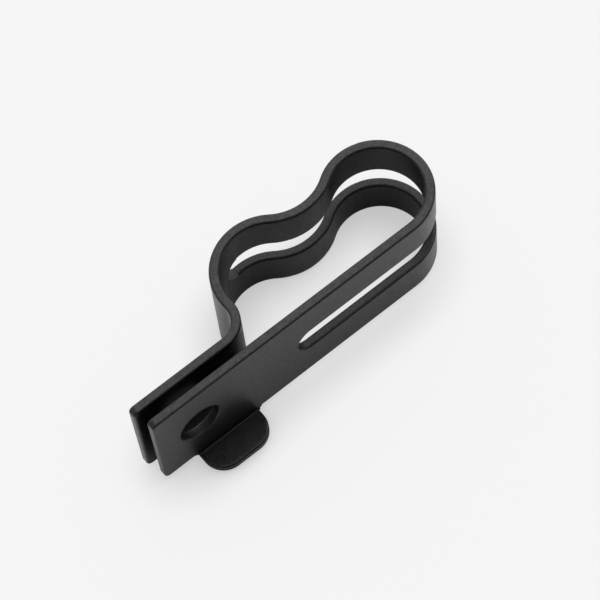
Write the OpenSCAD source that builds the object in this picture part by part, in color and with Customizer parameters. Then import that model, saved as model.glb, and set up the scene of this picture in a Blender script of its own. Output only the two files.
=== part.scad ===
// Cable clamp bent from one slotted strip, with two round seats, two bolted tails and a locating tab.
// X runs from the bolt towards the head loop, Y from the seating face into the clamp, Z across the strip.
// The origin lies on the bolt's axis, in the seating face and at the middle of the strip's width.

/* [Strip] */
// Width of the strip
strip_w = 18; // [14:0.5:24]
// Thickness of the strip with its coating
strip_t = 1.5; // [1:0.1:2]
// Radius of the softened edges
edge_r = 0.35; // [0.1:0.05:0.4]

/* [Loops] */
// Bolt's axis to the start of the head loop
leg_len = 40.1; // [39:0.1:60]
// Inner radius of the head loop
head_r = 7; // [6:0.1:9]
// Inner radius of the lobe beside the tails
lobe_r = 7.3; // [6:0.1:9]
// Distance along the leg between the centres of the head and the lobe
loop_pitch = 19.5; // [17:0.1:22]
// Outer radius of the waist between the loops
waist_r = 8; // [5:0.1:11]
// Outer radius of the neck where the lobe turns into the tail
neck_r = 3.3; // [2:0.1:6]

/* [Tails] */
// Gap left between the tails for the bolt to close
tail_gap = 1.7; // [0.5:0.1:4]
// Bolt's axis to the end of the front tail
front_end = 7.4; // [6:0.1:12]
// Bolt's axis to the end of the rear tail
rear_end = 8.2; // [6:0.1:12]
// Corner radius of the tails
corner_r = 0.9; // [0.6:0.1:3]
// Diameter of the bolt hole
bolt_d = 6.8; // [4:0.1:8]
// Radius of the bolt hole's softened rims
rim_r = 0.25; // [0.1:0.05:0.4]

/* [Slot] */
// Width of the slot
slot_w = 4.8; // [2:0.1:7]
// Bolt's axis to the start of the slot
slot_start = 18.1; // [14:0.1:30]
// Turn of the lobe, in degrees, that the slot follows
slot_lobe_turn = 46; // [30:1:85]

/* [Locating tab] */
// Width of the tab
tab_w = 11; // [8:0.1:14]
// Bolt's axis to the middle of the tab
tab_mid = 4.2; // [2:0.1:8]
// How far the tab stands out from the seating face
tab_reach = 4.7; // [4.4:0.1:8]
// Inner radius of the tab's bend
tab_bend_r = 0.2; // [0.2:0.1:1]
// Radius of the tab's outer corners
tab_corner_r = 3.5; // [1.5:0.1:3.9]
// Radius of the corners beside the tab's root
tab_root_r = 0.7; // [0.2:0.1:1.2]

/* [Hidden] */
$fn = 72;
round_fn = 16;
bite = 1;
half_t = strip_t / 2;
half_w = strip_w / 2;

// Centreline radii of the four bends.
head_c = head_r + half_t;
lobe_c = lobe_r + half_t;
waist_c = waist_r + half_t;
neck_c = neck_r + half_t;

// Contact angles of the bends, kept to a thousandth of a degree.
function fine(a) = round(a * 1000) / 1000;
function polar(r, a) = [r * cos(a), r * sin(a)];
lobe_rise = lobe_r - head_r;
span = norm([loop_pitch, lobe_rise]);
head_side = head_c + waist_c;
lobe_side = lobe_c + waist_c;
waist_angle = acos((head_side ^ 2 + span ^ 2 - lobe_side ^ 2) / (2 * head_side * span));
head_to_waist = fine(180 - atan2(lobe_rise, loop_pitch) - waist_angle);
neck_rise = strip_t * 1.5 + tail_gap + neck_c - strip_t - lobe_r;
lobe_to_neck = fine(180 - asin(neck_rise / (lobe_c + neck_c)));

// Centres of the four bends, each set off from the one before it.
head_o = [leg_len, strip_t + head_r];
waist_o = head_o + polar(head_side, head_to_waist);
waist_drop = strip_t + lobe_r - waist_o.y;
lobe_to_waist = fine(asin(-waist_drop / lobe_side));
lobe_o = waist_o - polar(lobe_side, lobe_to_waist);
neck_o = lobe_o + polar(lobe_c + neck_c, lobe_to_neck);
tail_y = neck_o.y - neck_c;

// Where the slot's round ends have their centres.
slot_x = slot_start + slot_w / 2;
slot_a = lobe_to_waist + slot_lobe_turn;

// Tab's bend line and its flat part, from the strip's lower edge.
bend_c = tab_bend_r + half_t;
tab_z = -half_w - bend_c;
tab_flat = tab_reach - tab_bend_r - tab_corner_r;

// Places a child in whole millimetres, then thousandths, then the rest, so that bends meet face to face.
module at(p) {
  whole = [floor(p.x), floor(p.y)];
  part = p - whole;
  small = [floor(part.x * 1000) / 1000, floor(part.y * 1000) / 1000];
  translate([whole.x, whole.y, 0])
    translate([small.x, small.y, 0])
      translate([part.x - small.x, part.y - small.y, 0])
        children();
}

// Material to take off a corner that points towards +X and +Y.
module corner_bit(r) {
  translate([-r, -r])
    difference() {
      square(r + bite);
      circle(r, $fn = round_fn);
    }
}

// Bar section with softened edges.
module bar(w, h) {
  difference() {
    square([w, h], center = true);
    for (sx = [-1, 1], sy = [-1, 1])
      scale([sx, sy]) translate([w / 2, h / 2]) corner_bit(edge_r);
  }
}

// Half of a bar section, from its middle to its softened end.
module half_bar(w, h) {
  difference() {
    translate([0, -h / 2]) square([w, h]);
    for (sy = [-1, 1])
      scale([1, sy]) translate([w, h / 2]) corner_bit(edge_r);
  }
}

// Section of the whole strip.
module solid_section() {
  bar(strip_t, strip_w);
}

// Section of the strip beside the slot.
module slotted_section() {
  side = (strip_w - slot_w) / 2;
  for (s = [-1, 1])
    translate([0, s * (slot_w + side) / 2]) bar(strip_t, side);
}

// Bends a section about a centre, from one angle over a turn.
module bend(o, r, from, turn) {
  at(o)
    rotate_extrude(angle = turn, start = from)
      translate([r, 0]) children();
}

// Runs a section straight along X.
module run(from, to) {
  translate([from, 0, 0])
    rotate([90, 0, 90])
      linear_extrude(to - from) children();
}

// Round punch along Y with rims softened by a radius, for a strip centred on Y.
module punch(d, rim) {
  rotate([-90, 0, 0])
    rotate_extrude()
      difference() {
        translate([0, -half_t - bite]) square([d / 2 + rim, strip_t + 2 * bite]);
        translate([d / 2, -half_t + rim]) square([2 * rim, strip_t - 2 * rim]);
        for (s = [-1, 1])
          translate([d / 2 + rim, s * (half_t - rim)]) circle(rim, $fn = round_fn);
      }
}

// Round corner of a plate with a softened rim.
module plate_corner(r, from) {
  rotate_extrude(angle = 90, start = from) half_bar(r, strip_t);
}

// Rounded end of a tail, from its end to where the full section begins.
module tail_end(end) {
  inner = half_w - corner_r;
  translate([corner_r - end, 0, 0]) {
    translate([0, 0, -inner])
      linear_extrude(2 * inner) rotate(180) half_bar(corner_r, strip_t);
    for (s = [-1, 1])
      translate([0, 0, s * inner])
        rotate([90, 0, 0]) plate_corner(corner_r, s > 0 ? 90 : 180);
  }
}

// Front leg with its bolt hole, up to the head loop.
module front_leg() {
  translate([0, half_t, 0]) {
    difference() {
      union() {
        tail_end(front_end);
        run(corner_r - front_end, slot_x) solid_section();
      }
      punch(bolt_d, rim_r);
      translate([slot_x, 0, 0]) punch(slot_w, edge_r);
    }
    run(slot_x, leg_len) slotted_section();
  }
}

// Head, waist, lobe and neck.
module loops() {
  bend(head_o, head_c, -90, head_to_waist + 90) slotted_section();
  bend(waist_o, waist_c, lobe_to_waist + 180, head_to_waist - lobe_to_waist) slotted_section();
  bend(lobe_o, lobe_c, lobe_to_waist, slot_lobe_turn) slotted_section();
  difference() {
    bend(lobe_o, lobe_c, slot_a, lobe_to_neck - slot_a) solid_section();
    at(lobe_o)
      rotate([-90, 0, slot_a - 90])
        translate([0, 0, lobe_r - bite]) cylinder(d = slot_w, h = strip_t + 2 * bite);
  }
  bend(neck_o, neck_c, -90, lobe_to_neck - 90) solid_section();
}

// Rear tail with its bolt hole.
module rear_tail() {
  difference() {
    union() {
      at([0, tail_y]) tail_end(rear_end);
      at([0, tail_y]) run(corner_r - rear_end, floor(neck_o.x) - 1) solid_section();
      at([neck_o.x, tail_y]) run(-2, 0) solid_section();
    }
    at([0, tail_y]) punch(bolt_d, rim_r);
  }
}

// Root of the tab: a lip inside the strip's lower edge, then a quarter bend of the child's section.
module tab_bend() {
  translate([0, half_t, -half_w])
    linear_extrude(edge_r + bite) rotate(90) children();
  translate([0, -tab_bend_r, -half_w])
    rotate([0, 90, 0])
      rotate_extrude(angle = 90)
        translate([bend_c, 0]) children();
}

// Round inner corners where the tab leaves the strip's lower edge.
module root_corners() {
  intersection() {
    tab_bend() square([strip_t, tab_w + 2 * tab_root_r], center = true);
    translate([0, strip_t + bite, -half_w])
      rotate([90, 0, 0])
        linear_extrude(tab_reach + 2 * bite)
          for (s = [-1, 1])
            scale([s, 1]) translate([tab_w / 2, 0])
              difference() {
                translate([-tab_root_r, -tab_root_r])
                  square([2 * tab_root_r, tab_root_r + edge_r]);
                translate([tab_root_r, -tab_root_r]) circle(tab_root_r, $fn = round_fn);
              }
  }
}

// Tab bent out of the strip's lower edge over the seating face.
module tab() {
  corner_y = -tab_bend_r - tab_flat;
  inner = tab_w / 2 - tab_corner_r;
  translate([tab_mid, 0, 0]) {
    tab_bend() bar(strip_t, tab_w);
    root_corners();
    translate([0, -tab_bend_r, tab_z])
      rotate([90, 0, 0])
        linear_extrude(tab_flat) bar(tab_w, strip_t);
    translate([-inner, corner_y, tab_z])
      rotate([0, 90, 0])
        linear_extrude(2 * inner) rotate(-90) half_bar(tab_corner_r, strip_t);
    for (s = [-1, 1])
      translate([s * inner, corner_y, tab_z]) plate_corner(tab_corner_r, s > 0 ? -90 : 180);
  }
}

// Whole bent strip.
module clamp_strip() {
  color([0.06, 0.06, 0.065]) {
    front_leg();
    loops();
    rear_tail();
    tab();
  }
}

clamp_strip();
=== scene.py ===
"""Cable clamp bent from one coated strip, on a pale table under soft studio light."""
import math

import bpy
from mathutils import Matrix, Vector

MM = 0.001

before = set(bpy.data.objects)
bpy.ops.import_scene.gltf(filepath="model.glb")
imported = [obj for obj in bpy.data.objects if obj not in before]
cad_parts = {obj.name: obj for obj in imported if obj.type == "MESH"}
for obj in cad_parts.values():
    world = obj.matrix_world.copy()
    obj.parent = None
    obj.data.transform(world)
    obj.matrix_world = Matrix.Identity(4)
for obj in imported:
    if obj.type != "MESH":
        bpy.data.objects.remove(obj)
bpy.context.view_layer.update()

# Camera: where it stands round the part, how far off and how it is tilted
CAMERA_AZIMUTH = -32.186
CAMERA_ELEVATION = 63.478
CAMERA_ROLL = -7.792
CAMERA_DISTANCE = 375.07 * MM
CAMERA_TARGET = Vector((25.415, 9.668, -9.0)) * MM
CAMERA_LENS = 150.94
CAMERA_SENSOR = 36.0
CAMERA_NEAR = 0.01
CAMERA_FAR = 20.0

# Table: the strip rests on it under the lobe, under the head and under the tab's bend
CONTACTS = [
    Vector((20.6, 17.28, -9.0)) * MM,
    Vector((40.1, 16.68, -9.0)) * MM,
    Vector((9.4, -0.035, -10.692)) * MM,
]
TABLE_MIDDLE = Vector((20, 8, 0)) * MM
TABLE_HALF = 2.0

# Paper on the table: its tone in the open and its painted shadow close to the strip, seen directly and
# mirrored in the coat
PAPER = 0.918
# Painted shadow: the table's darkest tones next to the strip, for the camera and in the coat's
# reflections
SEEN_PAINTED_SHADOW = 0.58
MIRROR_PAPER = 0.86
MIRROR_PAINTED_SHADOW = 0.78
CAMERA_GLOW = 0.90
SHADE_REACH = 9 * MM
SHADE_LEAN = (0.18, 0.10, 0.97)
SHADE_OPEN = (0.35, 0.92)

# Light: a dome, bright behind and overhead and dim in front, and a broad key in it
DOME_AXIS = (0.35, 0.65, 0.67)
DOME_TURN = (-0.28, 0.9)
DOME_DIM = 0.10
DOME_BRIGHT = 1.68
KEY_TOWARDS = (0.55, 0.30, 0.78)
KEY_SPREAD = 64.0
KEY_BRIGHTNESS = 1.04
KEY_DISTANCE = 0.5

# Coat: its tones, its sheen and its grain; each noise has a scale, a detail and a roughness
COAT_DARK = (0.0042, 0.0042, 0.0046, 1)
COAT_LIGHT = (0.0062, 0.0062, 0.0067, 1)
COAT_ROUGHNESS = (0.30, 0.38)
COAT_SHEEN = (0.27, 0.51)
COAT_TINT = (0.97, 0.97, 1.0, 1)
COAT_IOR = 1.5
MOTTLE_NOISE = (260.0, 4.0, 0.6)
MOTTLE_STOPS = (0.35, 0.65)
SHEEN_NOISE = (3400.0, 2.0, 0.6)
ROUGHNESS_NOISE = (900.0, 3.0, 0.55)
NOISE_SPAN = (0.3, 0.7)
GRAIN_NOISE = (2600.0, 2.0, 0.5)
GRAIN_STRENGTH = 0.45
GRAIN_DEPTH = 0.03 * MM

# Painted shade on the coat, darkening its colour and sheen: in recesses and at the strip's foot, but not
# on the tab's top or the hole's wall
RECESS_REACH = 8.5 * MM
RECESS_POWER = 1.6
RECESS_LEAST = 0.3
# Painted shade near the table: the strip gets darker towards its foot
FOOT = (-10.2 * MM, -8.6 * MM)
FOOT_SHADE = 0.20
TAB_TOP = -8.95 * MM
TAB_SLOPE = (0.2, 0.8)
HOLE_WALL = 3.5 * MM
OPENNESS_SAMPLES = 16


def add_camera():
    """Puts the camera at the photograph's place."""
    azimuth = math.radians(CAMERA_AZIMUTH)
    elevation = math.radians(CAMERA_ELEVATION)
    roll = math.radians(CAMERA_ROLL)
    back = Vector((
        math.sin(azimuth) * math.cos(elevation),
        -math.cos(azimuth) * math.cos(elevation),
        math.sin(elevation),
    ))
    level = Vector((math.cos(azimuth), math.sin(azimuth), 0.0))
    rise = back.cross(level)
    right = math.cos(roll) * level + math.sin(roll) * rise
    up = -math.sin(roll) * level + math.cos(roll) * rise
    data = bpy.data.cameras.new("camera")
    data.lens = CAMERA_LENS
    data.sensor_width = CAMERA_SENSOR
    data.clip_start = CAMERA_NEAR
    data.clip_end = CAMERA_FAR
    camera = bpy.data.objects.new("camera", data)
    turn = Matrix((right, up, back)).transposed()
    camera.matrix_world = Matrix.Translation(CAMERA_TARGET + back * CAMERA_DISTANCE) @ turn.to_4x4()
    bpy.context.scene.collection.objects.link(camera)
    bpy.context.scene.camera = camera


def new_material(name):
    """Makes an empty node material and gives it with its node tree."""
    material = bpy.data.materials.new(name)
    material.use_nodes = True
    material.node_tree.nodes.clear()
    return material, material.node_tree


def feed(tree, socket, value):
    """Links an output to a socket, or sets the socket to a plain value."""
    if isinstance(value, bpy.types.NodeSocket):
        tree.links.new(value, socket)
    else:
        socket.default_value = value


def add_node(tree, kind, **values):
    """Adds a shader node and feeds its inputs by name."""
    made = tree.nodes.new(kind)
    for name, value in values.items():
        feed(tree, made.inputs[name.replace("_", " ")], value)
    return made


def work_out(tree, operation, *values):
    """Adds a math node and gives its result."""
    made = tree.nodes.new("ShaderNodeMath")
    made.operation = operation
    for socket, value in zip(made.inputs, values):
        feed(tree, socket, value)
    return made.outputs[0]


def vector_math(tree, operation, vector):
    """Adds a vector math node with its first input fed."""
    made = tree.nodes.new("ShaderNodeVectorMath")
    made.operation = operation
    feed(tree, made.inputs[0], vector)
    return made


def remap(tree, value, source, result):
    """Maps a value from one range to another, held at its ends."""
    made = add_node(
        tree, "ShaderNodeMapRange", Value=value,
        From_Min=source[0], From_Max=source[1], To_Min=result[0], To_Max=result[1],
    )
    return made.outputs["Result"]


def noise(tree, place, settings):
    """Gives a noise pattern from its scale, detail and roughness."""
    scale, detail, roughness = settings
    made = add_node(
        tree, "ShaderNodeTexNoise", Vector=place,
        Scale=scale, Detail=detail, Roughness=roughness,
    )
    return made.outputs["Fac"]


def openness(tree, reach, **values):
    """Adds a node whose AO output says how open a point is, from 0 to 1."""
    made = add_node(tree, "ShaderNodeAmbientOcclusion", Distance=reach, **values)
    made.samples = OPENNESS_SAMPLES
    return made


def mix_shaders(tree, factor, first, second):
    """Gives a blend that is the first shader at 0 and the second at 1."""
    made = add_node(tree, "ShaderNodeMixShader", Fac=factor)
    tree.links.new(first, made.inputs[1])
    tree.links.new(second, made.inputs[2])
    return made.outputs[0]


def paper_material():
    """Pale table with a painted shadow close to the strip on top of its real shadow, shown to the camera
    near its own tone.
    """
    material, tree = new_material("pale_table")
    x, y, z = Vector(SHADE_LEAN).normalized()
    lean = add_node(tree, "ShaderNodeCombineXYZ", X=x, Y=y, Z=z)
    clear = openness(tree, SHADE_REACH, Normal=lean.outputs[0]).outputs["AO"]
    # Painted shadow: the table's colour darkens where the strip hems it in, both mirrored in the coat and
    # seen by the camera
    mirror_tone_with_painted_shadow = remap(tree, clear, SHADE_OPEN, (MIRROR_PAINTED_SHADOW, MIRROR_PAPER))
    mirrored = add_node(tree, "ShaderNodeBsdfDiffuse", Color=mirror_tone_with_painted_shadow)
    seen_tone_with_painted_shadow = remap(tree, clear, SHADE_OPEN, (SEEN_PAINTED_SHADOW, PAPER))
    seen = add_node(tree, "ShaderNodeEmission", Color=seen_tone_with_painted_shadow)
    path = tree.nodes.new("ShaderNodeLightPath")
    share = work_out(tree, "MULTIPLY", path.outputs["Is Camera Ray"], CAMERA_GLOW)
    surface = mix_shaders(tree, share, mirrored.outputs[0], seen.outputs[0])
    add_node(tree, "ShaderNodeOutputMaterial", Surface=surface)
    return material


def add_table():
    """Lays the table under the three points that the strip stands on."""
    lobe, head, tab = CONTACTS
    normal = (head - lobe).cross(tab - lobe).normalized()
    if normal.z < 0:
        normal = -normal
    side = Vector((1, 0, 0))
    side = (side - side.dot(normal) * normal).normalized()
    ahead = normal.cross(side)
    middle = TABLE_MIDDLE + (lobe - TABLE_MIDDLE).dot(normal) * normal
    corners = [
        middle + TABLE_HALF * (across * side + along * ahead)
        for across, along in ((-1, -1), (1, -1), (1, 1), (-1, 1))
    ]
    mesh = bpy.data.meshes.new("table")
    mesh.from_pydata([tuple(corner) for corner in corners], [], [(0, 1, 2, 3)])
    mesh.materials.append(paper_material())
    table = bpy.data.objects.new("table", mesh)
    bpy.context.scene.collection.objects.link(table)


def add_key():
    """Adds a broad, even light overhead, as bright in a mirror as its brightness says."""
    data = bpy.data.lights.new("key", "SUN")
    data.angle = math.radians(KEY_SPREAD)
    data.energy = KEY_BRIGHTNESS * math.pi * math.sin(math.radians(KEY_SPREAD / 2)) ** 2
    light = bpy.data.objects.new("key", data)
    light.rotation_mode = "QUATERNION"
    light.rotation_quaternion = Vector(KEY_TOWARDS).to_track_quat("Z", "Y")
    light.location = Vector(KEY_TOWARDS).normalized() * KEY_DISTANCE
    bpy.context.scene.collection.objects.link(light)


def add_world():
    """Studio dome, with a pale backdrop for the camera."""
    world = bpy.data.worlds.new("studio")
    bpy.context.scene.world = world
    world.use_nodes = True
    tree = world.node_tree
    tree.nodes.clear()
    where = tree.nodes.new("ShaderNodeTexCoord")
    facing = vector_math(tree, "DOT_PRODUCT", where.outputs["Generated"])
    feed(tree, facing.inputs[1], DOME_AXIS)
    strength = remap(tree, facing.outputs["Value"], DOME_TURN, (DOME_DIM, DOME_BRIGHT))
    dome = add_node(tree, "ShaderNodeBackground", Strength=strength)
    backdrop = add_node(tree, "ShaderNodeBackground", Color=(PAPER, PAPER, PAPER, 1))
    path = tree.nodes.new("ShaderNodeLightPath")
    surface = mix_shaders(tree, path.outputs["Is Camera Ray"], dome.outputs[0], backdrop.outputs[0])
    add_node(tree, "ShaderNodeOutputWorld", Surface=surface)


def axis_distance(tree, place):
    """Gives how far a point is from the bolt's axis, which is the frame's Y axis."""
    apart = add_node(tree, "ShaderNodeSeparateXYZ", Vector=place)
    flat = add_node(tree, "ShaderNodeCombineXYZ", X=apart.outputs["X"], Z=apart.outputs["Z"])
    return vector_math(tree, "LENGTH", flat.outputs[0]).outputs["Value"]


def recess_shade(tree, place):
    """Gives the painted shade that darkens recesses and the strip's foot, but not the tab's upper side or
    the bolt hole's wall.
    """
    clear = openness(tree, RECESS_REACH)
    clear.only_local = True
    deep = work_out(tree, "POWER", clear.outputs["AO"], RECESS_POWER)
    shade = work_out(tree, "MAXIMUM", deep, RECESS_LEAST)
    height = add_node(tree, "ShaderNodeSeparateXYZ", Vector=place).outputs["Z"]
    # Painted shade: darker towards the strip's foot, close to the table
    shade = work_out(tree, "MULTIPLY", shade, remap(tree, height, FOOT, (FOOT_SHADE, 1.0)))
    facing = tree.nodes.new("ShaderNodeNewGeometry").outputs["Normal"]
    slope = add_node(tree, "ShaderNodeSeparateXYZ", Vector=facing).outputs["Z"]
    upward = remap(tree, slope, TAB_SLOPE, (0.0, 1.0))
    tab_top = work_out(tree, "MULTIPLY", upward, work_out(tree, "LESS_THAN", height, TAB_TOP))
    hole_wall = work_out(tree, "LESS_THAN", axis_distance(tree, place), HOLE_WALL)
    return work_out(tree, "MAXIMUM", shade, work_out(tree, "MAXIMUM", tab_top, hole_wall))


def coat_material():
    """Satin black coat: near-black, with fine grain, faint mottling, and painted shade in recesses and at
    its foot.
    """
    material, tree = new_material("satin_black_coat")
    place = tree.nodes.new("ShaderNodeTexCoord").outputs["Object"]
    shade = recess_shade(tree, place)

    mottle = add_node(tree, "ShaderNodeValToRGB", Fac=noise(tree, place, MOTTLE_NOISE))
    stops = mottle.color_ramp.elements
    for stop, position, color in zip(stops, MOTTLE_STOPS, (COAT_DARK, COAT_LIGHT)):
        stop.position = position
        stop.color = color
    # Painted shade darkens the coat's mottled colour in recesses and at its foot
    tone = vector_math(tree, "SCALE", mottle.outputs["Color"])
    feed(tree, tone.inputs["Scale"], shade)

    sheen = remap(tree, noise(tree, place, SHEEN_NOISE), NOISE_SPAN, COAT_SHEEN)
    roughness = remap(tree, noise(tree, place, ROUGHNESS_NOISE), NOISE_SPAN, COAT_ROUGHNESS)
    grain = add_node(
        tree, "ShaderNodeBump", Height=noise(tree, place, GRAIN_NOISE),
        Strength=GRAIN_STRENGTH, Distance=GRAIN_DEPTH,
    )
    # The same painted shade also dims the coat's sheen
    coat = add_node(
        tree, "ShaderNodeBsdfPrincipled", IOR=COAT_IOR, Roughness=roughness,
        Base_Color=tone.outputs["Vector"], Normal=grain.outputs["Normal"],
        Specular_IOR_Level=work_out(tree, "MULTIPLY", shade, sheen), Specular_Tint=COAT_TINT,
    )
    add_node(tree, "ShaderNodeOutputMaterial", Surface=coat.outputs["BSDF"])
    return material


def dress_strip():
    """Gives the strip its coat."""
    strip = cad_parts["clamp_strip"]
    strip.material_slots[0].material = coat_material()


scene = bpy.context.scene
scene.view_settings.view_transform = "Standard"
add_camera()
add_table()
add_world()
add_key()
dress_strip()
